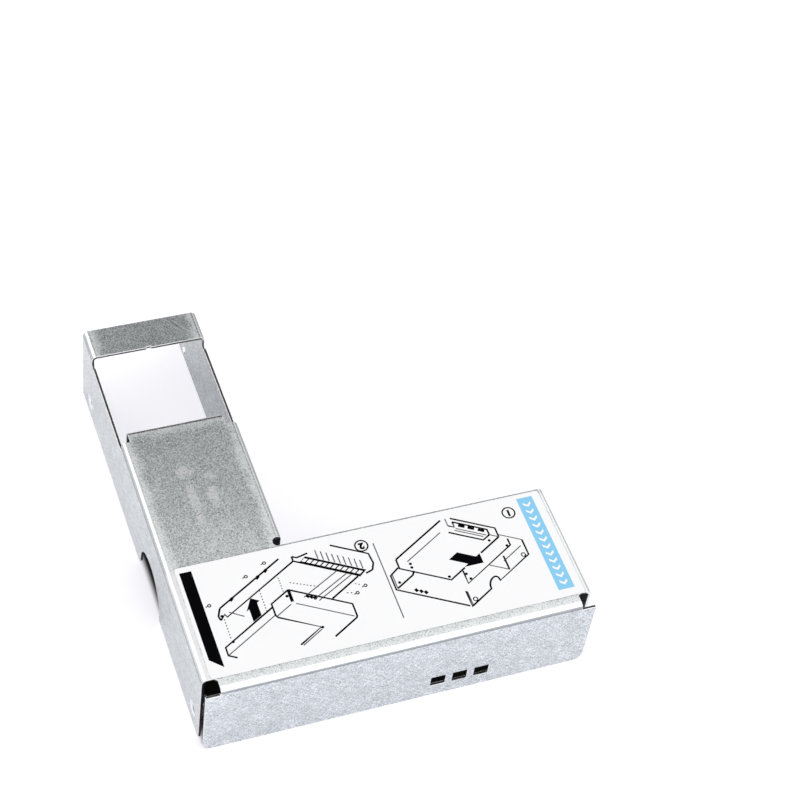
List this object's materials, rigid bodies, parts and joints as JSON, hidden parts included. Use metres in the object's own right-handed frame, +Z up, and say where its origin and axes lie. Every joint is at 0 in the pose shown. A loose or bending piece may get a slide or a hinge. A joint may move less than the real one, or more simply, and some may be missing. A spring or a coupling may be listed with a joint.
{
  "type": "drive bay adapter bracket",
  "caption": "L-shaped folded steel bracket that carries a small drive in a larger drive bay, with clinch standoffs, a cable notch, a partition flap and a paper label.",
  "frame": {"origin": "centre of the bounding box's bottom face, on the plane of the walls' free edges that it stands on", "axes": "+Z up out of the labelled face, +Y back along the narrow leg away from the front wall, +X along the front wall from the notch wall to the end flange"},
  "size_m": [0.1016, 0.1296, 0.0251],
  "materials": {
    "galvanised_steel": "galvanised sheet with a fine spangle, bright at the folds",
    "plated_steel": "bright zinc plating, turned",
    "label_paper": "white coated paper with a satin face and printed shapes"
  },
  "bodies": {
    "root": {"folded_bracket": "galvanised_steel", "clinch_standoffs": "plated_steel", "instruction_label": "label_paper"}
  },
  "joints": []
}
